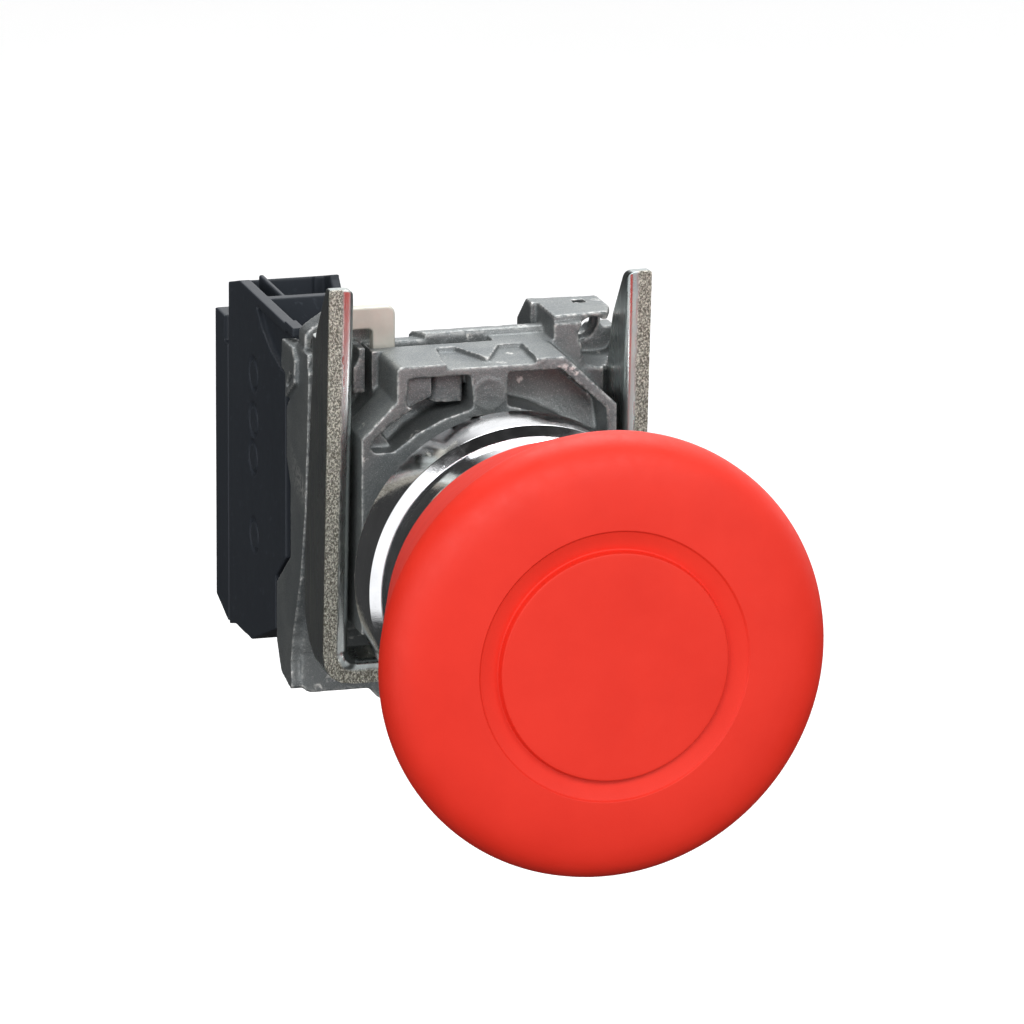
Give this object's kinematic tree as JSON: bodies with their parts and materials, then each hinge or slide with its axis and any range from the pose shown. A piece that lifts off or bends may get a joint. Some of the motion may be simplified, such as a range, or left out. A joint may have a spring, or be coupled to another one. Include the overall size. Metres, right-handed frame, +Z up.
{
  "type": "emergency stop push button",
  "caption": "Push-pull mushroom emergency stop button for a round panel hole, with metal bezel, cast fixing collar, clamping yoke and one contact block.",
  "frame": {"origin": "on the push axis, in the plane of the panel's front face (rear plane of the bezel)", "axes": "+Y along the push axis from the cap towards the contact block, +Z up, +X to the right seen from the front"},
  "size_m": [0.04, 0.0811, 0.0448],
  "materials": {
    "cap_red": "satin moulded red",
    "chrome": "polished chrome plating",
    "cast_zinc": "bare zinc die casting, blasted matte grey",
    "zinc_plate": "zinc-plated pressed steel",
    "lever_plate": "light zinc-plated sheet",
    "spring_steel": "drawn wire",
    "block_slate": "dark slate moulded plastic",
    "black_plastic": "black moulded plastic",
    "signal_red": "red moulded plastic",
    "rubber": "black rubber",
    "brass": "stamped brass"
  },
  "bodies": {
    "body": {"bezel_ring": "chrome", "neck_sleeve": "chrome", "panel_gasket": "rubber", "stem_seal": "rubber", "head_barrel": "cast_zinc", "hold_spring": "spring_steel", "collar_body": "cast_zinc", "block_housing": "block_slate", "block_rear_cover": "block_slate", "contact_spring": "spring_steel", "fixed_contact_upper": "brass", "fixed_contact_lower": "brass"},
    "pusher": {"mushroom_cap": "cap_red", "push_stem": "black_plastic", "pusher_plate": "black_plastic", "pusher_screw": "zinc_plate", "detent_clip": "spring_steel"},
    "contact_carriage": {"contact_plunger": "signal_red", "contact_bridge": "brass"},
    "yoke": {"clamp_yoke": "zinc_plate"},
    "tightener": {"tightening_screw": "zinc_plate"},
    "lever": {"locking_lever": "lever_plate"},
    "terminal_upper": {"terminal_screw_upper": "zinc_plate", "terminal_clamp_upper": "zinc_plate"},
    "terminal_lower": {"terminal_screw_lower": "zinc_plate", "terminal_clamp_lower": "zinc_plate"}
  },
  "joints": [
    {"name": "push", "type": "slide", "parent": "body", "child": "pusher", "axis": [0, 1, 0], "range_m": [0, 0.0043], "deforming": ["hold_spring"]},
    {"name": "contact_travel", "type": "slide", "parent": "body", "child": "contact_carriage", "axis": [0, 1, 0], "range_m": [0, 0.0043], "deforming": ["contact_spring"]},
    {"name": "yoke_tilt", "type": "hinge", "parent": "body", "child": "yoke", "pos_m": [0, 0.0115, -0.0113], "axis": [1, 0, 0], "range_deg": [0, 8.6]},
    {"name": "screw_travel", "type": "slide", "parent": "body", "child": "tightener", "axis": [0, -1, 0], "range_m": [0, 0.0043]},
    {"name": "lever_turn", "type": "hinge", "parent": "body", "child": "lever", "pos_m": [0, 0.01475, 0], "axis": [0, 1, 0], "range_deg": [0, 25]},
    {"name": "terminal_upper_travel", "type": "slide", "parent": "body", "child": "terminal_upper", "axis": [0, 1, 0], "range_m": [0, 0.0015]},
    {"name": "terminal_lower_travel", "type": "slide", "parent": "body", "child": "terminal_lower", "axis": [0, 1, 0], "range_m": [0, 0.0015]}
  ],
  "couplings": [
    {"joint": "contact_travel", "follows": "push", "ratio": 1},
    {"joint": "screw_travel", "follows": "yoke_tilt", "m_per_rad": 0.0286}
  ]
}
